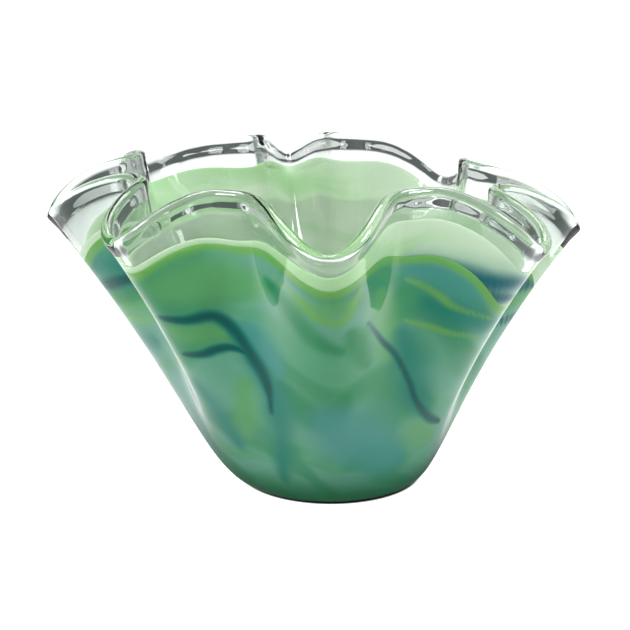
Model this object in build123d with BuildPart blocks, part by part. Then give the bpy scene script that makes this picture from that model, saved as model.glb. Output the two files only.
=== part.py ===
from build123d import *
from math import atan2, cos, hypot, pi, radians, sin, sqrt
import os

# Ruffled bowl in cased blown glass.  The origin is the centre of the foot's resting face, +Z is up,
# and the front of the bowl faces -Y.  All sizes are millimetres.
# The wall is made of gathers of glass fused one over the other.  Each gather is one sub-part: the
# space between two nested bodies of the bowl, trimmed by wavy cuts that run parallel to the rim.

# --- overall sizes -------------------------------------------------------------------------------
foot_radius = 49.5           # outside of the bowl where it meets the table
crest_height = 188.0         # mean height of the eight rim crests, which stand up and inwards
lobe_height = 163.0          # mean height of the eight rim lobes, which fold out and down
crest_spread = 63.5          # how far the wall spreads from the foot to a crest
flute_depth = 68.0           # how far a lobe stands out past the crests, taken at crest height
lean = 12.0                  # how far the ruffled rim sits towards -X of the foot, at crest height

# --- curve of the wall ---------------------------------------------------------------------------
belly_power = 0.53           # the wall leaves the foot nearly flat and then steepens
flute_power = 1.95           # the flutes start from nothing at the foot and open towards the rim
lean_power = 0.6             # the lean builds up quickly above the foot
lobe_sharpness = 0.55        # how much narrower the lobes get than a plain wave, at the rim
rim_sharpness = 2.1          # the rim stays high over the crests and dips sharply at the lobes

# --- hand-worked unevenness of the eight folds ---------------------------------------------------
# Angles run from the front towards +X, in degrees.  Each list goes round from the back fold towards
# -X, the front and +X.  Crest k lies between lobe k and lobe k + 1.
lobe_angles = [-173, -132, -84, -42, 4, 53, 86, 145]
crest_angles = [-156, -108, -62, -21, 28, 72, 117, 168]
lobe_rise = [8, 7, -2, 3, 3, -4, -10, -3]
crest_rise = [0, -1, 1, 3, 4, -7, -8, 1]
lobe_flare = [0.82, 0.83, 0.88, 0.83, 0.84, 0.98, 1.05, 0.94]
crest_shift = [-2, 1, -5, 2, 6, -1, 1, -1]
clear_at_lobe = [12, 14, 24, 16, 12, 16, 22, 14]            # colourless height below the rim
clear_at_crest = [20, 24, 28, 27, 17, 18, 20, 18]
lining_only_at_lobe = [22, 20, 4, 3, 8, 20, 14, 20]         # height of lining above the green
lining_only_at_crest = [24, 14, 3, 3, 20, 20, 20, 25]

# --- gathers of glass, measured square to the wall -----------------------------------------------
casing_thickness = 1.8       # outer clear gather, over the colour
green_thickness = 0.9        # green colour gather
lining_thickness = 0.9       # pale opal gather, behind the colour
inner_thickness = 1.4        # first clear gather, which is the inside of the bowl
lip_swell = 0.8              # how far the rounded lip stands proud of each face of the wall
lip_length = 7.5             # length of the lip along the wall
foot_thickness = 5.0         # foot pad, from the table up to the casing
casing_floor = 2.5           # thickness of the casing over the foot pad
floor_thickness = 1.5        # thickness of each of the other gathers over the floor

# --- streaks in the colour, placed by azimuth from the front -------------------------------------
teal_patch_azimuths = [38, -60, 150]
teal_curl_azimuths = [80, 190, -100]
lime_line_azimuths = [38, 110, 160, -130]
streak_reach = 200.0         # a streak's ribbon runs from the bowl's middle out through the wall

# --- how the wall is sampled ---------------------------------------------------------------------
section_shares = [0, 0.015, 0.05, 0.11, 0.2, 0.33, 0.47, 0.61, 0.74, 0.87, 1.0, 1.12]
fold_count = len(lobe_angles)
steps_per_half_fold = 2      # stations from a lobe to the next crest
cut_reach = 16.0             # how far a wavy cut runs past each side of the wall's middle
cut_height = 90.0            # how far a wavy cut clears away glass above it
cut_parts = 4                # a wavy cut is made in this many stretches


def fold_stations():
    """Lobe number, crest number, angle and share of the way from lobe to crest, all the way round."""
    stations = []
    for fold in range(fold_count):
        following = (fold + 1) % fold_count
        lobe_angle = lobe_angles[fold]
        crest_angle = crest_angles[fold]
        next_angle = lobe_angles[following] + (360 if following == 0 else 0)
        for step in range(steps_per_half_fold):
            share = step / steps_per_half_fold
            stations.append((fold, fold, lobe_angle + share * (crest_angle - lobe_angle), share))
        for step in range(steps_per_half_fold):
            share = step / steps_per_half_fold
            angle = crest_angle + share * (next_angle - crest_angle)
            stations.append((following, fold, angle, 1 - share))
    return stations


stations = fold_stations()


def lobe_weight(share):
    """1 on a lobe and 0 on a crest, along a cosine."""
    return (1 + cos(pi * share)) / 2


def outer_point(station, height):
    """Point of the bowl's outer face at a station and a height, as x and y."""
    lobe, crest, angle, share = station
    rise = max(height, 0) / crest_height
    opening = rise**flute_power
    sharpness = 1 + lobe_sharpness * rise**2
    crest_radius = foot_radius + crest_spread * rise**belly_power + crest_shift[crest] * opening
    flute = flute_depth * lobe_flare[lobe] - crest_shift[crest]
    radius = crest_radius + flute * opening * lobe_weight(share) ** sharpness
    turn = radians(angle)
    return radius * sin(turn) - lean * rise**lean_power, -radius * cos(turn)


def section_points(depth, height):
    """The section at a height, of the face that lies a depth inside the outer face."""
    half_step = 0.5
    points = [outer_point(station, height) for station in stations]
    above = [outer_point(station, height + half_step) for station in stations]
    below = [outer_point(station, height - half_step) for station in stations]
    moved = []
    for index, (x, y) in enumerate(points):
        before = points[index - 1]
        after = points[(index + 1) % len(points)]
        run_x = after[0] - before[0]
        run_y = after[1] - before[1]
        run = hypot(run_x, run_y)
        out_x = run_y / run
        out_y = -run_x / run
        flare = (above[index][0] - below[index][0]) * out_x
        flare += (above[index][1] - below[index][1]) * out_y
        inset = depth * sqrt(1 + flare**2)
        moved.append((x - out_x * inset, y - out_y * inset))
    return moved


def bowl_body(depth, floor_height):
    """Solid body of the bowl inside the face at a depth, from its floor to above the rim."""
    highest_share = section_shares[-1]
    body_height = highest_share * crest_height - floor_height
    heights = [floor_height + share / highest_share * body_height for share in section_shares]
    with BuildPart() as body:
        for height in heights:
            with BuildSketch(Plane.XY.offset(height)):
                with BuildLine():
                    Spline(*section_points(depth, height), periodic=True)
                make_face()
        loft()
    return body.part


def rim_height(station):
    """Height of the rim's edge at a station."""
    lobe, crest, angle, share = station
    low = lobe_height + lobe_rise[lobe]
    high = crest_height + crest_rise[crest]
    return high + (low - high) * lobe_weight(share) ** rim_sharpness


def wavy_cut(crest_drops, lobe_drops):
    """Body that clears away all glass above a wavy line, drops below the rim and square to the wall."""
    middle = (casing_thickness + green_thickness + lining_thickness + inner_thickness) / 2
    inside = []
    outside = []
    for index, station in enumerate(stations):
        weight = lobe_weight(station[3])
        drop = lobe_drops[station[0]] * weight + crest_drops[station[1]] * (1 - weight)
        height = rim_height(station) - drop
        x, y = section_points(middle, height)[index]
        higher_x, higher_y = section_points(middle, height + 1)[index]
        flare = hypot(higher_x, higher_y) - hypot(x, y)
        level = cut_reach / sqrt(1 + flare**2)
        fall = level * flare
        turn = atan2(y, x)
        inside.append((x - level * cos(turn), y - level * sin(turn), height + fall))
        outside.append((x + level * cos(turn), y + level * sin(turn), height - fall))
    with BuildLine(mode=Mode.PRIVATE) as inside_edge:
        Spline(*inside, periodic=True)
    with BuildLine(mode=Mode.PRIVATE) as outside_edge:
        Spline(*outside, periodic=True)
    with BuildPart() as cut:
        for quarter in range(cut_parts):
            start = quarter / cut_parts
            end = (quarter + 1) / cut_parts
            band = Face.make_surface_from_curves(
                inside_edge.edge().trim(start, end), outside_edge.edge().trim(start, end)
            )
            extrude(band, amount=cut_height, dir=(0, 0, 1))
    return cut.part


def below(body, cut):
    """The part of a body under a wavy cut."""
    with BuildPart() as trimmed:
        add(body)
        add(cut, mode=Mode.SUBTRACT)
    return trimmed.solids().sort_by(SortBy.VOLUME)[-1]


def streak(azimuth, start, upper, end, lower):
    """Ribbon of glass with pointed ends, drawn on the wall as seen from outside at an azimuth."""
    turn = radians(azimuth)
    outwards = (sin(turn), -cos(turn), 0)
    across = (cos(turn), sin(turn), 0)
    with BuildPart() as ribbon:
        with BuildSketch(Plane(origin=(0, 0, 0), x_dir=across, z_dir=outwards)):
            with BuildLine():
                Spline(start, *upper, end)
                Spline(start, *lower, end)
            make_face()
        extrude(amount=streak_reach)
    return ribbon.part


# --- nested bodies of the bowl and the wavy cuts that trim them ----------------------------------
green_face = casing_thickness
lining_face = green_face + green_thickness
clear_face = lining_face + lining_thickness
inside_face = clear_face + inner_thickness
green_floor = foot_thickness + casing_floor
lining_floor = green_floor + floor_thickness
clear_floor = lining_floor + floor_thickness
inside_floor = clear_floor + floor_thickness

outer_body = bowl_body(0, 0)
green_body = bowl_body(green_face, green_floor)
lining_body = bowl_body(lining_face, lining_floor)
clear_body = bowl_body(clear_face, clear_floor)
inside_body = bowl_body(inside_face, inside_floor)
level_drops = [0] * fold_count
lip_drops = [lip_length] * fold_count
rim_cut = wavy_cut(level_drops, level_drops)
lip_cut = wavy_cut(lip_drops, lip_drops)
lining_cut = wavy_cut(clear_at_crest, clear_at_lobe)
green_cut = wavy_cut(
    [clear + only for clear, only in zip(clear_at_crest, lining_only_at_crest)],
    [clear + only for clear, only in zip(clear_at_lobe, lining_only_at_lobe)],
)
green_core = below(green_body, green_cut)
lining_core = below(lining_body, lining_cut)

# --- foot pad: the thick puddle of glass under the bowl, ground flat where it rests --------------
with BuildPart() as foot_pad:
    add(outer_body)
    split(bisect_by=Plane.XY.offset(foot_thickness), keep=Keep.BOTTOM)
foot_pad.part.label = "foot_pad"

# --- outer casing: the last gather, clear, which covers the colour and makes the clear band ------
with BuildPart() as outer_casing:
    add(below(outer_body, lip_cut))
    split(bisect_by=Plane.XY.offset(foot_thickness), keep=Keep.TOP)
    add(lining_body, mode=Mode.SUBTRACT)
    add(green_core, mode=Mode.SUBTRACT)
outer_casing.part.label = "outer_casing"

# --- colour gather: green glass with teal and lime streaks melted into it ------------------------
with BuildPart() as colour_gather:
    add(green_core)
    add(lining_body, mode=Mode.SUBTRACT)

# Outlines are distances across and up, seen from outside: a pointed start, the points along the
# upper side, a pointed end, and the points along the lower side.
with BuildPart() as teal_ribbons:
    long_upper = [(-63, 127), (-43, 115), (-28, 92)]
    long_lower = [(-66, 120), (-48, 109), (-37, 90)]
    add(streak(0, (-88, 120), long_upper, (-30, 44), long_lower))
    add(streak(0, (24, 120), [(38, 106), (52, 84)], (66, 66), [(35, 104), (48, 82)]))
    for azimuth in teal_patch_azimuths:
        patch_upper = [(-8, 140), (12, 139)]
        patch_lower = [(-6, 127), (14, 124)]
        add(streak(azimuth, (-26, 128), patch_upper, (30, 128), patch_lower))
    for azimuth in teal_curl_azimuths:
        curl_upper = [(-20, 104), (2, 92), (14, 68)]
        curl_lower = [(-20, 98), (-4, 86), (7, 66)]
        add(streak(azimuth, (-40, 98), curl_upper, (14, 40), curl_lower))

with BuildPart() as lime_ribbons:
    add(streak(0, (-84, 106), [(-64, 109)], (-46, 100), [(-64, 104)]))
    add(streak(0, (-16, 134), [(4, 124), (22, 128)], (40, 140), [(4, 120), (22, 124)]))
    for azimuth in lime_line_azimuths:
        line_upper = [(-4, 113), (14, 112)]
        line_lower = [(-4, 109), (14, 109)]
        add(streak(azimuth, (-24, 118), line_upper, (30, 118), line_lower))

# A builder's own intersection keeps only what every ribbon shares, so these two stand outside one.
teal_glass = colour_gather.part & teal_ribbons.part
lime_glass = colour_gather.part & lime_ribbons.part

with BuildPart() as teal_streaks:
    add(teal_glass)
teal_streaks.part.label = "teal_streaks"

with BuildPart() as lime_streaks:
    add(lime_glass)
lime_streaks.part.label = "lime_streaks"

with BuildPart() as green_overlay:
    add(colour_gather.part)
    add(teal_ribbons.part, mode=Mode.SUBTRACT)
    add(lime_ribbons.part, mode=Mode.SUBTRACT)
green_overlay.part.label = "green_overlay"

# --- opal lining: the pale gather behind the colour ----------------------------------------------
with BuildPart() as opal_lining:
    add(lining_core)
    add(clear_body, mode=Mode.SUBTRACT)
opal_lining.part.label = "opal_lining"

# --- inner gather: the first clear gather, which is the inside of the bowl -----------------------
with BuildPart() as inner_gather:
    add(below(lining_body, lip_cut))
    add(opal_lining.part, mode=Mode.SUBTRACT)
    add(inside_body, mode=Mode.SUBTRACT)
inner_gather.part.label = "inner_gather"

# --- rolled lip: the edge softened in the fire, thicker than the wall and rounded ----------------
lip_ring = below(bowl_body(-lip_swell, 0), rim_cut) & lip_cut
with BuildPart() as rolled_lip:
    add(lip_ring)
    add(bowl_body(inside_face + lip_swell, inside_floor), mode=Mode.SUBTRACT)
rolled_lip.part.label = "rolled_lip"

os.makedirs("parts", exist_ok=True)
colours = [green_overlay, teal_streaks, lime_streaks, opal_lining]
for piece in [foot_pad, outer_casing, *colours, inner_gather, rolled_lip]:
    export_step(piece.part, f"parts/{piece.part.label}.step")
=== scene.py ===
from math import atan2, cos, degrees, exp, hypot, pi, radians, sin

import bpy
import numpy as np
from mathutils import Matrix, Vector


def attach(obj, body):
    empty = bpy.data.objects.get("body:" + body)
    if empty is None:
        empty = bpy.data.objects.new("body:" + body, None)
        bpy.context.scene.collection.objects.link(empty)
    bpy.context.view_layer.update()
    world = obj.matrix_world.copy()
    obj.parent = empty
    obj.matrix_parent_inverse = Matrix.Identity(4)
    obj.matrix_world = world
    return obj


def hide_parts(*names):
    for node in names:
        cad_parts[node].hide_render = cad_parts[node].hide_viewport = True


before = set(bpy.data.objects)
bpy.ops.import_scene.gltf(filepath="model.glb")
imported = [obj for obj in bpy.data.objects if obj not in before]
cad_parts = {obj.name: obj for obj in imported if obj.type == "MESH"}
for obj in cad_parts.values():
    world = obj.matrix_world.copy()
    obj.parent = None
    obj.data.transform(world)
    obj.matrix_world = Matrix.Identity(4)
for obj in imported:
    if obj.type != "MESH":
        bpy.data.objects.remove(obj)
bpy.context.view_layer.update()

mm = 0.001


# --- clear glass ---------------------------------------------------------------------------------
# The first clear gather, which is the inside of the bowl, the last clear gather, which covers the
# colour, and the lip, softened in the fire until its edge is round.  All three are one clear melt.
# The bowl is blown round and straight, opened out, and then its rim is worked into eight folds.

# Going round from the back fold towards -X, the front and +X; crest k is between lobes k and k + 1.
lobe_angles = [-173, -132, -84, -42, 4, 53, 86, 145]
crest_angles = [-156, -108, -62, -21, 28, 72, 117, 168]
lobe_rise = [8, 7, -2, 3, 3, -4, -10, -3]
crest_rise = [0, -1, 1, 3, 4, -7, -8, 1]
lobe_flare = [0.82, 0.83, 0.88, 0.83, 0.84, 0.98, 1.05, 0.94]
crest_shift = [-2, 1, -5, 2, 6, -1, 1, -1]
folds = len(lobe_angles)

foot_radius = 49.5
crest_height = 188.0
lobe_height = 163.0
crest_spread = 63.5
flute_depth = 68.0
lean = 12.0
belly_power = 0.53
flute_power = 1.95
lean_power = 0.6
lobe_sharpness = 0.55
rim_sharpness = 2.1

blank_radius = 100.0          # the round blank, before it is opened out
blank_height = 315.0
floor_reach = 50.0            # in the blank, glass nearer the axis than this becomes the floor
opening_power = 1.5           # how quickly the wall rises as the blank is opened out
wall_thickness = 5.0
base_swell = 3.5              # how many times thicker the inner clear glass is left over the foot
base_swell_height = 14.0
lining_inside = 3.4           # depth of the inner face of the pale lining
lip_radius = 3.3
lip_neck = 14.0               # length over which the wall swells to the lip
wall_rows = 92
floor_rows = 5
neck_steps = 6
lip_steps = 12
turns_round = 288
seam_gap = 0.01               # points of the blank nearer than this are the same point
clear_tint = (0.80, 0.85, 0.82, 1)
clear_shade = (0.93, 0.97, 0.95, 1)     # what each face leaves of the lamps' light
glass_bending = 1.5


def between_folds(angle):
    """Lobe and crest on either side of an angle, and 1 on the lobe falling to 0 on the crest."""
    angle = (angle - lobe_angles[0]) % 360 + lobe_angles[0]
    for fold in range(folds):
        following = (fold + 1) % folds
        next_angle = lobe_angles[following] + (360 if following == 0 else 0)
        crest_angle = crest_angles[fold]
        if angle < crest_angle:
            share = (angle - lobe_angles[fold]) / (crest_angle - lobe_angles[fold])
            return fold, fold, (1 + cos(pi * share)) / 2
        if angle < next_angle:
            share = (next_angle - angle) / (next_angle - crest_angle)
            return following, fold, (1 + cos(pi * share)) / 2


def rim_height(angle):
    """Height of the rim's edge."""
    lobe, crest, weight = between_folds(angle)
    low = lobe_height + lobe_rise[lobe]
    high = crest_height + crest_rise[crest]
    return high + (low - high) * weight**rim_sharpness


def outer_face(angle, opened):
    """Point of the bowl's outer face, where opened runs from 0 at the foot to 1 at the rim's edge."""
    lobe, crest, weight = between_folds(angle)
    height = rim_height(angle) * max(opened, 0) ** opening_power
    rise = height / crest_height
    opening = rise**flute_power
    sharpness = 1 + lobe_sharpness * rise**2
    crest_radius = foot_radius + crest_spread * rise**belly_power + crest_shift[crest] * opening
    flute = flute_depth * lobe_flare[lobe] - crest_shift[crest]
    radius = crest_radius + flute * opening * weight**sharpness
    turn = radians(angle)
    leaning = lean * rise**lean_power
    return Vector((radius * sin(turn) - leaning, -radius * cos(turn), height))


def face_normal(angle, opened):
    """Outward direction square to the outer face."""
    turn_step = 0.5
    open_step = 0.004
    around = outer_face(angle + turn_step, opened) - outer_face(angle - turn_step, opened)
    upward = outer_face(angle, opened + open_step) - outer_face(angle, max(opened - open_step, 0))
    return around.cross(upward).normalized()


def blow(name, outline):
    """Spins a cross-section of the round blank about its axis, and merges the seam."""
    mesh = bpy.data.meshes.new(name)
    joins = [(index, index + 1) for index in range(len(outline) - 1)]
    mesh.from_pydata([(radius, 0, height) for radius, height in outline], joins, [])
    piece = bpy.data.objects.new(name, mesh)
    bpy.context.collection.objects.link(piece)
    bpy.ops.object.select_all(action="DESELECT")
    piece.select_set(True)
    bpy.context.view_layer.objects.active = piece
    bpy.ops.object.mode_set(mode="EDIT")
    bpy.ops.mesh.select_all(action="SELECT")
    bpy.ops.mesh.spin(steps=turns_round, angle=2 * pi, center=(0, 0, 0), axis=(0, 0, 1))
    bpy.ops.mesh.select_all(action="SELECT")
    bpy.ops.mesh.remove_doubles(threshold=seam_gap)
    bpy.ops.object.mode_set(mode="OBJECT")
    return piece


def work_folds(piece, top=None):
    """Opens a round blank out and works its folds.  Attributes keep where the glass was in the blank."""
    mesh = piece.data
    floor_end = floor_reach + 1
    facing = {}
    placed = []
    blown = []
    under_edge = []
    for vertex in mesh.vertices:
        x, y, level = vertex.co
        radius = hypot(x, y)
        angle = round(degrees(atan2(x, -y)), 2) if radius > seam_gap else 0.0
        on_floor = radius < floor_end
        opened = 0 if on_floor else round(level / blank_height, 5)
        if top:
            opened *= (top(angle) / rim_height(angle)) ** (1 / opening_power)
        if (angle, opened) not in facing:
            facing[angle, opened] = (outer_face(angle, opened), face_normal(angle, opened))
        face, normal = facing[angle, opened]
        depth = -level if on_floor else blank_radius - radius
        behind_colour = max(depth - lining_inside, 0)
        swollen = depth + behind_colour * base_swell * exp(-face.z / base_swell_height)
        point = face - normal * swollen
        if on_floor:
            inwards = radius / floor_end
            point = Vector((point.x * inwards, point.y * inwards, point.z))
        placed.append(point * mm)
        blown.append(Vector((x, y, opened * blank_height)) * mm)
        under_edge.append((top or rim_height)(angle) - point.z)
    mesh.vertices.foreach_set("co", np.ravel(placed))
    mesh.attributes.new("blown", "FLOAT_VECTOR", "POINT").data.foreach_set("vector", np.ravel(blown))
    mesh.attributes.new("under_edge", "FLOAT", "POINT").data.foreach_set("value", under_edge)
    mesh.update()
    bpy.ops.object.select_all(action="DESELECT")
    piece.select_set(True)
    bpy.context.view_layer.objects.active = piece
    bpy.ops.object.mode_set(mode="EDIT")
    bpy.ops.mesh.select_all(action="SELECT")
    bpy.ops.mesh.normals_make_consistent(inside=False)
    bpy.ops.object.mode_set(mode="OBJECT")
    bpy.ops.object.shade_smooth()


def lip_outline():
    """Cross-section of the rounded lip and the necks below it, from the outer wall to the inner."""
    points = []
    middle = wall_thickness / 2
    swell = lip_radius - middle
    for step in range(neck_steps):
        share = step / neck_steps
        ease = (1 - cos(pi * share)) / 2
        points.append((-swell * ease, lip_neck + (lip_radius - lip_neck) * share))
    for step in range(lip_steps + 1):
        turn = pi * step / lip_steps
        points.append((middle - lip_radius * cos(turn), lip_radius * (1 - sin(turn))))
    for step in range(1, neck_steps + 1):
        share = step / neck_steps
        ease = (1 + cos(pi * share)) / 2
        points.append((wall_thickness + swell * ease, lip_radius + (lip_neck - lip_radius) * share))
    return [(blank_radius - depth, blank_height - below) for depth, below in points]


wall_top = 1 - lip_neck / blank_height
floor_shares = [row / floor_rows for row in range(floor_rows)]
wall_levels = [row / wall_rows * wall_top * blank_height for row in range(wall_rows)]
outline = [(share * floor_reach, 0) for share in floor_shares]
outline += [(blank_radius, level) for level in wall_levels]
outline += lip_outline()
outline += [(blank_radius - wall_thickness, level) for level in reversed(wall_levels)]
outline += [(share * floor_reach, -wall_thickness) for share in reversed(floor_shares)]
clear_glass = blow("clear_glass", outline)
work_folds(clear_glass)
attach(clear_glass, "root")
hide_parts("outer_casing", "inner_gather", "rolled_lip")


def new_material(name):
    """Material with its node tree empty but for the output."""
    material = bpy.data.materials.new(name)
    material.use_nodes = True
    tree = material.node_tree
    tree.nodes.remove(tree.nodes["Principled BSDF"])
    return material, tree


def make_node(tree, kind, **sockets):
    """Adds a node, and sets or links its inputs by name."""
    made = tree.nodes.new(kind)
    for name, value in sockets.items():
        socket = made.inputs[name.replace("_", " ")]
        if isinstance(value, bpy.types.NodeSocket):
            tree.links.new(value, socket)
        else:
            socket.default_value = value
    return made


def maths(tree, operation, first, second, limited=False):
    """One operation on two numbers."""
    made = tree.nodes.new("ShaderNodeMath")
    made.operation = operation
    made.use_clamp = limited
    for socket, value in zip(made.inputs, (first, second)):
        if isinstance(value, bpy.types.NodeSocket):
            tree.links.new(value, socket)
        else:
            socket.default_value = value
    return made.outputs[0]


def blend(tree, share, first, second):
    """Colour that goes from the first to the second as share goes from 0 to 1."""
    made = tree.nodes.new("ShaderNodeMix")
    made.data_type = "RGBA"
    for name, value in (("Factor_Float", share), ("A_Color", first), ("B_Color", second)):
        socket = next(item for item in made.inputs if item.identifier == name)
        if isinstance(value, bpy.types.NodeSocket):
            tree.links.new(value, socket)
        else:
            socket.default_value = value
    return next(item for item in made.outputs if item.identifier == "Result_Color")


def spread(tree, value, low, high):
    """0 where the value is at or below low, rising smoothly to 1 where it is at or above high."""
    made = tree.nodes.new("ShaderNodeMapRange")
    made.interpolation_type = "SMOOTHSTEP"
    tree.links.new(value, made.inputs["Value"])
    made.inputs["From Min"].default_value = low
    made.inputs["From Max"].default_value = high
    return made.outputs["Result"]


def grain(tree, where, scale, detail):
    """Cloudy noise between 0 and 1."""
    return make_node(tree, "ShaderNodeTexNoise", Vector=where, Scale=scale, Detail=detail).outputs["Fac"]


clear_melt, tree = new_material("clear_glass")
place = make_node(tree, "ShaderNodeTexCoord").outputs["Object"]
waviness = make_node(tree, "ShaderNodeBump", Strength=0.35, Distance=0.0015)
tree.links.new(grain(tree, place, 42, 1.5), waviness.inputs["Height"])
seen = make_node(tree, "ShaderNodeBsdfPrincipled", Base_Color=clear_tint, Roughness=0.0)
seen.inputs["IOR"].default_value = glass_bending
seen.inputs["Transmission Weight"].default_value = 1.0
tree.links.new(waviness.outputs["Normal"], seen.inputs["Normal"])
passed = make_node(tree, "ShaderNodeBsdfTransparent", Color=clear_shade)
ray = make_node(tree, "ShaderNodeLightPath")
for_lamps = maths(tree, "MAXIMUM", ray.outputs["Is Shadow Ray"], ray.outputs["Is Diffuse Ray"])
surface = tree.nodes.new("ShaderNodeMixShader")
tree.links.new(for_lamps, surface.inputs[0])
tree.links.new(seen.outputs[0], surface.inputs[1])
tree.links.new(passed.outputs[0], surface.inputs[2])
tree.links.new(surface.outputs[0], tree.nodes["Material Output"].inputs["Surface"])
clear_glass.data.materials.append(clear_melt)


# --- green colour --------------------------------------------------------------------------------
# Chips of emerald, teal and lime glass picked up on the gather, then melted, stretched and combed
# into swirls.  It is one thin skin of glass under the clear casing, so the streaks are its colours.
# Its top edge is drawn out into a thin lime line.

clear_at_lobe = [12, 14, 24, 16, 12, 16, 22, 14]
clear_at_crest = [20, 24, 28, 27, 17, 18, 20, 18]
lining_only_at_lobe = [22, 20, 4, 3, 8, 20, 14, 20]
lining_only_at_crest = [24, 14, 3, 3, 20, 20, 20, 25]
colour_outside = 1.7
colour_inside = 2.5
edge_steps = 4
skin_rows = 128
blank_millimetres = 1.745       # width of one degree of the blank's wall
route_steps = 14                # points between two of a stroke's given points
wander = 0.35                   # how far a painted edge strays, as a part of the stroke
green_through = 0.45            # part of the light that passes through the green
inner_roughness = 0.6
inner_bending = 1.1             # against the clear glass round it, the colour bends light little
lime_edge_start = 9.5           # millimetres below the green's top edge
lime_edge_full = 4.0
edge_drift = 6.0                # how far, in millimetres, the lime edge strays
# Painted shade: the green darkens towards the foot, as less light reaches the bottom.
base_shade_start = 0.030              # the green deepens from this height, in metres, down to the next
base_shade_full = 0.004

dark_teal = (0.000, 0.090, 0.082, 1)
teal = (0.012, 0.230, 0.185, 1)
blue_teal = (0.070, 0.320, 0.300, 1)
emerald = (0.020, 0.260, 0.095, 1)
mid_green = (0.110, 0.375, 0.215, 1)
sea_green = (0.165, 0.405, 0.310, 1)
olive_green = (0.135, 0.400, 0.145, 1)
lime = (0.190, 0.450, 0.090, 1)
# Dark green of the painted shade low on the bowl.
base_shade_green = (0.008, 0.160, 0.065, 1)

copies_round = (118, 192, 236)        # degrees round at which the front's main swirl comes again


def repeated(strokes):
    """The strokes, and their copies on the sides and back."""
    turned = list(strokes)
    for turn in copies_round:
        for half_width, points in strokes:
            turned.append((half_width, [(azimuth + turn, height) for azimuth, height in points]))
    return turned


# Each stroke is half its width in millimetres, then azimuths and heights along it.
teal_lines = repeated([
    (3.2, [(-42, 121), (-35, 120), (-30, 122), (-27, 118), (-23, 106), (-20, 94), (-17, 83), (-18, 62)]),
    (3.8, [(-24, 108), (-21, 98), (-18, 87), (-17, 74)]),
    (2.2, [(-41, 98), (-35, 99), (-31, 102), (-27, 103), (-23, 100)]),
]) + [
    (1.9, [(15, 123), (21, 109), (27, 98), (33, 81), (37, 68), (43, 58), (51, 50)]),
    (2.6, [(36, 70), (40, 62), (45, 55), (52, 50)]),
    (3.0, [(-84, 119), (-78, 122), (-74, 126), (-66, 132)]),
    (5.5, [(-94, 78), (-86, 62), (-79, 48), (-70, 36)]),
]
blue_lines = [
    (7.0, [(31, 150), (38, 145), (43, 141), (56, 138)]),
    (4.5, [(39, 136), (44, 132), (56, 129)]),
]
teal_clouds = repeated([
    (10, [(-24, 110), (-19, 95), (-15, 78), (-15, 58), (-17, 38), (-20, 18)]),
]) + [
    (9, [(35, 130), (42, 121), (52, 113)]),
    (11, [(28, 112), (31, 95), (35, 76), (42, 60)]),
    (10, [(-88, 136), (-77, 134), (-68, 134), (-60, 142)]),
    (9, [(-96, 84), (-81, 86), (-72, 90)]),
    (14, [(-92, 84), (-82, 62), (-74, 36)]),
    (14, [(-60, 60), (-66, 44), (-60, 26)]),
    (9, [(-36, 40), (-40, 62), (-44, 80)]),
]
blue_clouds = [
    (18, [(2, 62), (10, 52), (22, 42), (34, 30)]),
    (8, [(-22, 116), (-16, 106), (-12, 92)]),
    (10, [(27, 152), (36, 146), (45, 138), (56, 134)]),
    (7, [(-70, 70), (-66, 55)]),
]
light_clouds = repeated([
    (7, [(-40, 112), (-33, 112), (-27, 113)]),
    (8, [(-34, 50), (-28, 62), (-25, 84)]),
]) + [
    (12, [(-36, 138), (-26, 142), (-14, 140)]),
    (8, [(18, 138), (22, 118), (24, 96)]),
    (6, [(-88, 108), (-76, 110), (-66, 118)]),
    (9, [(34, 44), (42, 46), (50, 40)]),
    (7, [(-4, 138), (3, 134), (9, 138)]),
]
deep_clouds = repeated([
    (7, [(-12, 84), (-7, 74), (-1, 64), (6, 67), (10, 80)]),
]) + [
    (5, [(-12, 146), (-8, 138), (-4, 126), (1, 115), (8, 108)]),
    (5, [(-86, 112), (-76, 116), (-68, 124)]),
    (6, [(10, 120), (13, 108), (16, 96)]),
]
lime_lines = [
    (2.4, [(-9, 150), (-3, 140), (1, 131), (7, 127), (10, 138), (12, 148)]),
    (2.0, [(27, 143), (32, 139), (37, 132), (41, 125), (52, 116)]),
    (2.0, [(28, 119), (36, 114), (41, 110), (52, 105)]),
    (2.2, [(-90, 100), (-78, 101), (-68, 104)]),
]


def lining_top(angle):
    """Height at which the pale lining ends and the clear band begins."""
    lobe, crest, weight = between_folds(angle)
    return rim_height(angle) - clear_at_lobe[lobe] * weight - clear_at_crest[crest] * (1 - weight)


def green_top(angle):
    """Height at which the green colour ends, with only the pale lining above it."""
    lobe, crest, weight = between_folds(angle)
    drop = lining_only_at_lobe[lobe] * weight + lining_only_at_crest[crest] * (1 - weight)
    return lining_top(angle) - drop


def skin_outline(outside, inside):
    """Cross-section of a thin skin in the blank's wall, closed over the floor and round at the top."""
    middle = (outside + inside) / 2
    half = (inside - outside) / 2
    levels = [row / skin_rows * (blank_height - half) for row in range(skin_rows + 1)]
    points = [(share * floor_reach, -outside) for share in floor_shares]
    points += [(blank_radius - outside, level) for level in levels]
    for step in range(1, edge_steps):
        turn = pi * step / edge_steps
        points.append((blank_radius - middle + half * cos(turn), levels[-1] + half * sin(turn)))
    points += [(blank_radius - inside, level) for level in reversed(levels)]
    points += [(share * floor_reach, -inside) for share in reversed(floor_shares)]
    return points


def smooth_route(points):
    """Many points along a curve through a few, with 0 to 1 for how far along each one is."""
    points = np.array([points[0]] + points + [points[-1]], float)
    route = []
    for index in range(1, len(points) - 2):
        before, start, end, after = points[index - 1 : index + 3]
        for step in range(route_steps):
            t = step / route_steps
            bend = (2 * before - 5 * start + 4 * end - after) * t**2
            twist = (3 * start - before - 3 * end + after) * t**3
            route.append((2 * start + (end - before) * t + bend + twist) / 2)
    return np.array(route), np.linspace(0, 1, len(route))


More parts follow.
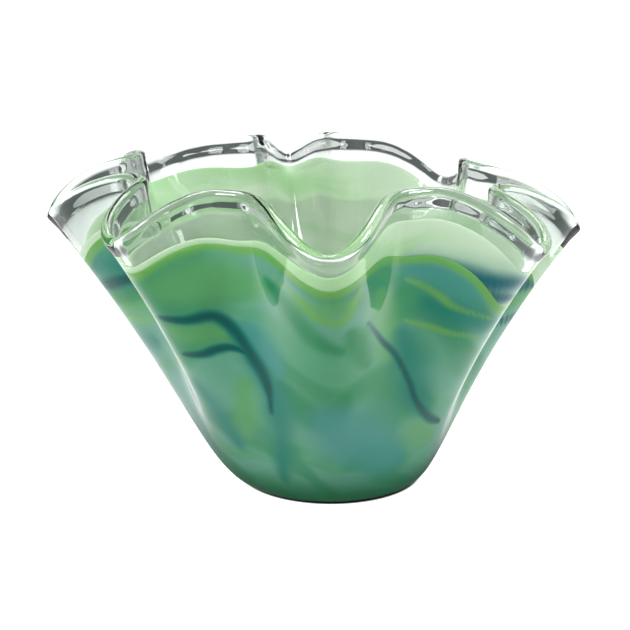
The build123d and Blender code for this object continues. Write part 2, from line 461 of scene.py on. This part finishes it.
def paint(piece, name, strokes):
    """Stores how near the glass is to any of the strokes: 1 on one, and 0 at twice its half width."""
    mesh = piece.data
    places = np.empty(len(mesh.vertices) * 3)
    mesh.vertices.foreach_get("co", places)
    heights = places.reshape(-1, 3)[:, 2] / mm
    blown = np.empty(len(mesh.vertices) * 3)
    mesh.attributes["blown"].data.foreach_get("vector", blown)
    blown = blown.reshape(-1, 3)
    azimuths = np.degrees(np.arctan2(blown[:, 0], -blown[:, 1]))
    nearness = np.zeros(len(heights))
    for half_width, points in strokes:
        route, along = smooth_route(points)
        widths = half_width * (0.25 + 0.75 * np.sqrt(np.sin(pi * along)))
        for (azimuth, height), width in zip(route, widths):
            aside = (azimuths - azimuth + 180) % 360 - 180
            distance = np.hypot(aside * blank_millimetres, heights - height)
            nearness = np.maximum(nearness, 1 - distance / (2 * width))
    layer = mesh.attributes.new(name, "FLOAT", "POINT")
    layer.data.foreach_set("value", nearness.astype(np.float32))


def melted_group():
    """Node group for colours that melted and were dragged: three soft masks, at different scales."""
    group = bpy.data.node_groups.new("melted", "ShaderNodeTree")
    for name in ("Drift", "Cloud", "Streak"):
        group.interface.new_socket(name, in_out="OUTPUT", socket_type="NodeSocketFloat")
    blown = make_node(group, "ShaderNodeAttribute")
    blown.attribute_name = "blown"
    flow = make_node(group, "ShaderNodeTexNoise", Vector=blown.outputs["Vector"], Scale=9, Detail=2)
    centred = group.nodes.new("ShaderNodeVectorMath")
    centred.operation = "SUBTRACT"
    group.links.new(flow.outputs["Color"], centred.inputs[0])
    centred.inputs[1].default_value = (0.5, 0.5, 0.5)
    dragged = group.nodes.new("ShaderNodeVectorMath")
    dragged.operation = "MULTIPLY_ADD"
    group.links.new(centred.outputs[0], dragged.inputs[0])
    dragged.inputs[1].default_value = (0.16, 0.16, 0.16)
    group.links.new(blown.outputs["Vector"], dragged.inputs[2])
    stretched = group.nodes.new("ShaderNodeMapping")
    stretched.inputs["Rotation"].default_value = (0.5, 0.35, 0.0)
    stretched.inputs["Scale"].default_value = (0.7, 0.7, 1.9)
    group.links.new(dragged.outputs[0], stretched.inputs["Vector"])
    place = stretched.outputs[0]
    end = group.nodes.new("NodeGroupOutput")
    group.links.new(grain(group, blown.outputs["Vector"], 26, 2), end.inputs["Drift"])
    group.links.new(grain(group, place, 13, 3), end.inputs["Cloud"])
    streak = make_node(group, "ShaderNodeTexWave", Vector=place, Scale=5, Distortion=7)
    streak.inputs["Detail"].default_value = 2
    streak.inputs["Detail Scale"].default_value = 0.8
    group.links.new(streak.outputs["Fac"], end.inputs["Streak"])
    return group


def painted(tree, name, drift, low, high):
    """Mask from a painted layer, with its edges made to wander."""
    layer = make_node(tree, "ShaderNodeAttribute")
    layer.attribute_name = name
    wandering = maths(tree, "MULTIPLY", maths(tree, "SUBTRACT", drift, 0.5), wander)
    return spread(tree, maths(tree, "ADD", layer.outputs["Fac"], wandering), low, high)


def tinted(tree, colour, mask, strength, tint):
    """The colour, taken towards a tint where the mask is 1, by no more than strength."""
    return blend(tree, maths(tree, "MULTIPLY", mask, strength), colour, tint)


def skin_surface(tree, colour, through):
    """Thin coloured glass inside the clear: part of the light is sent back, and part goes through."""
    body = make_node(tree, "ShaderNodeBsdfPrincipled", Base_Color=colour)
    body.inputs["Roughness"].default_value = inner_roughness
    body.inputs["IOR"].default_value = inner_bending
    glow = make_node(tree, "ShaderNodeBsdfTranslucent", Color=colour)
    mixed = tree.nodes.new("ShaderNodeMixShader")
    mixed.inputs[0].default_value = through
    tree.links.new(body.outputs[0], mixed.inputs[1])
    tree.links.new(glow.outputs[0], mixed.inputs[2])
    tree.links.new(mixed.outputs[0], tree.nodes["Material Output"].inputs["Surface"])


green_colour = blow("green_colour", skin_outline(colour_outside, colour_inside))
work_folds(green_colour, green_top)
paint(green_colour, "light_cloud", light_clouds)
paint(green_colour, "deep_cloud", deep_clouds)
paint(green_colour, "teal_cloud", teal_clouds)
paint(green_colour, "blue_cloud", blue_clouds)
paint(green_colour, "lime_line", lime_lines)
paint(green_colour, "teal_line", teal_lines)
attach(green_colour, "root")
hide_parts("green_overlay", "teal_streaks", "lime_streaks")

melted = melted_group()
green_melt, tree = new_material("green_colour")
flow = make_node(tree, "ShaderNodeGroup")
flow.node_tree = melted
drift = flow.outputs["Drift"]
colour = blend(tree, spread(tree, flow.outputs["Cloud"], 0.35, 0.65), mid_green, sea_green)
colour = tinted(tree, colour, spread(tree, flow.outputs["Streak"], 0.35, 1.0), 0.6, emerald)
# Each painted layer: nearness at which it starts and at which it is full, strength and colour.
for layer_name, starts, full, strength, tint in [
    ("light_cloud", 0.1, 0.9, 0.75, olive_green),
    ("deep_cloud", 0.1, 0.9, 0.8, emerald),
    ("teal_cloud", 0.1, 1.0, 0.85, teal),
    ("blue_cloud", 0.1, 0.9, 0.85, blue_teal),
    ("lime_line", 0.2, 0.95, 0.7, lime),
]:
    colour = tinted(tree, colour, painted(tree, layer_name, drift, starts, full), strength, tint)
edge = make_node(tree, "ShaderNodeAttribute")
edge.attribute_name = "under_edge"
below_edge = maths(tree, "ADD", edge.outputs["Fac"], maths(tree, "MULTIPLY", drift, edge_drift))
lime_edge = spread(tree, below_edge, lime_edge_start, lime_edge_full)
colour = tinted(tree, colour, lime_edge, 0.85, lime)
colour = blend(tree, painted(tree, "teal_line", drift, 0.0, 0.7), colour, teal)
colour = tinted(tree, colour, painted(tree, "teal_line", drift, 0.2, 0.9), 0.9, dark_teal)
# Painted shade: the green turns darker towards the foot.
where = make_node(tree, "ShaderNodeSeparateXYZ")
tree.links.new(make_node(tree, "ShaderNodeTexCoord").outputs["Object"], where.inputs[0])
colour = blend(tree, spread(tree, where.outputs["Z"], base_shade_start, base_shade_full), colour, base_shade_green)
skin_surface(tree, colour, green_through)
green_colour.data.materials.append(green_melt)


# --- pale lining ---------------------------------------------------------------------------------
# Milky yellow-green gather behind the colour.  It lets light through, so it makes the green glow from
# inside the bowl.  It reaches a little higher than the green, which shows as a pale zone at the rim,
# and a blue patch was melted into it at the right.

lining_outside = 2.6
lining_through = 0.6            # part of the light that passes through the lining
milk = (0.660, 0.740, 0.620, 1)
milk_green = (0.480, 0.660, 0.420, 1)
deep_blue = (0.020, 0.190, 0.235, 1)

pale_lining = blow("pale_lining", skin_outline(lining_outside, lining_inside))
work_folds(pale_lining, lining_top)
paint(pale_lining, "blue_line", blue_lines)
paint(pale_lining, "blue_cloud", blue_clouds)
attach(pale_lining, "root")
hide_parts("opal_lining")

milk_melt, tree = new_material("pale_lining")
flow = make_node(tree, "ShaderNodeGroup")
flow.node_tree = melted
drift = flow.outputs["Drift"]
colour = blend(tree, spread(tree, flow.outputs["Cloud"], 0.4, 0.7), milk, milk_green)
colour = tinted(tree, colour, painted(tree, "blue_cloud", drift, 0.0, 1.0), 0.6, blue_teal)
colour = blend(tree, painted(tree, "blue_line", drift, 0.2, 0.9), colour, deep_blue)
skin_surface(tree, colour, lining_through)
pale_lining.data.materials.append(milk_melt)


# --- foot ----------------------------------------------------------------------------------------
# The thick bottom, ground flat so that the bowl stands without rocking.  The colour is seen edge-on
# there, so it is dark green, and painted shade where it meets the table makes it almost black: a
# thin dark disc with a softened edge.

foot_reach = 0.0445
foot_depth = 0.0010
foot_middle = 0.0011
foot_softening = 0.0004
# Near-black greens: the bottom's own dark green, darkened as painted shade where it stands.
foot_shade_black = (0.006, 0.030, 0.016, 1)
foot_shade_green = (0.015, 0.070, 0.035, 1)

bpy.ops.mesh.primitive_cylinder_add(
    vertices=96, radius=foot_reach, depth=foot_depth, location=(0, 0, foot_middle)
)
foot = bpy.context.object
foot.name = "dark_foot_shade"
bpy.ops.object.transform_apply(location=True)
foot_edge = foot.modifiers.new("edge", "BEVEL")
foot_edge.width = foot_softening
foot_edge.segments = 3
bpy.ops.object.modifier_apply(modifier="edge")
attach(foot, "root")
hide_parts("foot_pad")

foot_melt, tree = new_material("dark_foot_shade")
place = make_node(tree, "ShaderNodeTexCoord").outputs["Object"]
# Painted contact shade over the dark green of the thick bottom.
colour = blend(tree, grain(tree, place, 60, 2), foot_shade_black, foot_shade_green)
body = make_node(tree, "ShaderNodeBsdfPrincipled", Base_Color=colour, Roughness=0.35)
tree.links.new(body.outputs[0], tree.nodes["Material Output"].inputs["Surface"])
foot.data.materials.append(foot_melt)


# --- table ---------------------------------------------------------------------------------------
# A pale sheet that the bowl stands on, with a narrow dark ring of shade where the foot meets it.
# Looked at directly, it is plain and pale.  What the glass mirrors or bends of it is dark at the
# sides and far behind, and what it mirrors is dark in front too, as with the black cards that are
# stood round glass.  Close to the bowl it is dark too: painted shade of the bowl over the table.

table_size = 12.0
table_glow = (0.80, 0.80, 0.80, 1)
table_paper = (0.55, 0.55, 0.55, 1)
card_and_shade_glow = (0.05, 0.06, 0.06, 1)
card_and_shade_paper = (0.06, 0.06, 0.06, 1)
contact_shade = (0.004, 0.006, 0.005, 1)
unlit = (0.0, 0.0, 0.0, 1)
card_aside = (0.16, 0.45)       # each pair is where a card's shade starts and where it is full
card_near = (0.05, -0.20)
card_far = (1.4, 2.2)
# Painted shade of the bowl on the table near its foot, seen only in the glass.
bowl_shade_reach = (0.17, 0.06)
contact_ring = (0.0550, 0.0525)

bpy.ops.mesh.primitive_plane_add(size=table_size, location=(0, 0, 0))
table = bpy.context.object
table.name = "pale_table"

pale, tree = new_material("pale_table")
place = make_node(tree, "ShaderNodeTexCoord").outputs["Object"]
where = make_node(tree, "ShaderNodeSeparateXYZ")
tree.links.new(place, where.inputs[0])
from_foot = make_node(tree, "ShaderNodeVectorMath")
from_foot.operation = "LENGTH"
tree.links.new(place, from_foot.inputs[0])
eye = make_node(tree, "ShaderNodeLightPath")
mirrored = maths(tree, "SUBTRACT", 1.0, eye.outputs["Is Transmission Ray"])
aside = spread(tree, maths(tree, "ABSOLUTE", where.outputs["X"], 0), *card_aside)
near = maths(tree, "MULTIPLY", spread(tree, where.outputs["Y"], *card_near), mirrored)
far = spread(tree, where.outputs["Y"], *card_far)
# Painted shade on the table close to the bowl, for what the glass mirrors or bends.
under = spread(tree, from_foot.outputs["Value"], *bowl_shade_reach)
sides = maths(tree, "MAXIMUM", aside, near)
cards_and_shade = maths(tree, "MAXIMUM", sides, maths(tree, "MAXIMUM", far, under))
direct = maths(tree, "MAXIMUM", eye.outputs["Is Camera Ray"], eye.outputs["Is Diffuse Ray"])
to_glass = maths(tree, "MULTIPLY", cards_and_shade, maths(tree, "SUBTRACT", 1.0, direct))
glow = tinted(tree, table_glow, eye.outputs["Is Diffuse Ray"], 0.5, unlit)
glow = blend(tree, to_glass, glow, card_and_shade_glow)
paper = blend(tree, to_glass, table_paper, card_and_shade_paper)
contact = spread(tree, from_foot.outputs["Value"], *contact_ring)
glow = blend(tree, contact, glow, unlit)
paper = blend(tree, contact, paper, contact_shade)
body = make_node(tree, "ShaderNodeBsdfPrincipled", Base_Color=paper, Roughness=0.9)
tree.links.new(glow, body.inputs["Emission Color"])
body.inputs["Emission Strength"].default_value = 1.0
tree.links.new(body.outputs[0], tree.nodes["Material Output"].inputs["Surface"])
table.data.materials.append(pale)


# --- lights --------------------------------------------------------------------------------------
# A white room with three softboxes: left, right and overhead.  The room is plain white behind the
# bowl and lights it evenly; what the glass mirrors or bends of it is greyer overhead, and dark at
# the sides and in front, which draws the clear rim.

room_white = (1, 1, 1, 1)
room_light = (0.72, 0.73, 0.73, 1)
room_wall = (0.90, 0.90, 0.90, 1)
room_ceiling = (0.42, 0.44, 0.45, 1)
room_sides = (0.18, 0.20, 0.19, 1)
room_front = (0.06, 0.07, 0.07, 1)
ceiling_reach = (0.05, 0.6)     # each pair is where a part of the room starts and where it is full
sides_reach = (0.15, 0.5)
front_reach = (0.1, -0.8)
front_seen_through = 0.8        # how much fainter the dark front is for light bent through the glass
bowl_middle = Vector((0, 0, 0.1))

world = bpy.data.worlds.new("studio")
bpy.context.scene.world = world
world.use_nodes = True
tree = world.node_tree
direction = make_node(tree, "ShaderNodeSeparateXYZ")
tree.links.new(make_node(tree, "ShaderNodeTexCoord").outputs["Generated"], direction.inputs[0])
eye = make_node(tree, "ShaderNodeLightPath")
bent = maths(tree, "MULTIPLY", eye.outputs["Is Transmission Ray"], front_seen_through)
overhead = spread(tree, direction.outputs["Z"], *ceiling_reach)
sideways = spread(tree, maths(tree, "ABSOLUTE", direction.outputs["X"], 0), *sides_reach)
in_front = spread(tree, direction.outputs["Y"], *front_reach)
in_front = maths(tree, "MULTIPLY", in_front, maths(tree, "SUBTRACT", 1.0, bent))
room = blend(tree, overhead, room_wall, room_ceiling)
room = tinted(tree, room, sideways, 0.8, room_sides)
room = tinted(tree, room, in_front, 0.75, room_front)
soft_light = blend(tree, eye.outputs["Is Diffuse Ray"], room, room_light)
shown = blend(tree, eye.outputs["Is Camera Ray"], soft_light, room_white)
tree.links.new(shown, tree.nodes["Background"].inputs["Color"])
tree.nodes["Background"].inputs["Strength"].default_value = 1.0

# Each softbox has its place, its size and its power in watts.
for name, place, size, power in [
    ("left_softbox", (-0.75, -0.75, 1.0), 0.55, 20),
    ("right_softbox", (0.85, -0.55, 0.95), 0.45, 14),
    ("top_softbox", (0.05, 0.25, 1.3), 0.6, 9),
]:
    lamp = bpy.data.lights.new(name, "AREA")
    lamp.size = size
    lamp.energy = power
    softbox = bpy.data.objects.new(name, lamp)
    softbox.location = place
    softbox.rotation_euler = (bowl_middle - Vector(place)).to_track_quat("-Z", "Y").to_euler()
    bpy.context.collection.objects.link(softbox)


# --- camera --------------------------------------------------------------------------------------
# It stands in front of the bowl, nearly a metre away, and looks a little down, over the front folds
# into the bowl.  Colours are shown as they are, with no film look.

camera_place = Vector((0, -0.900, 0.3405))
camera_aim = Vector((-0.0093, 0, 0.0974))
film_width = 36
focal_length = 90.57

camera_data = bpy.data.cameras.new("camera")
camera_data.sensor_width = film_width
camera_data.lens = focal_length
camera = bpy.data.objects.new("camera", camera_data)
camera.location = camera_place
camera.rotation_euler = (camera_aim - camera_place).to_track_quat("-Z", "Y").to_euler()
bpy.context.collection.objects.link(camera)
bpy.context.scene.camera = camera
bpy.context.scene.view_settings.view_transform = "Standard"
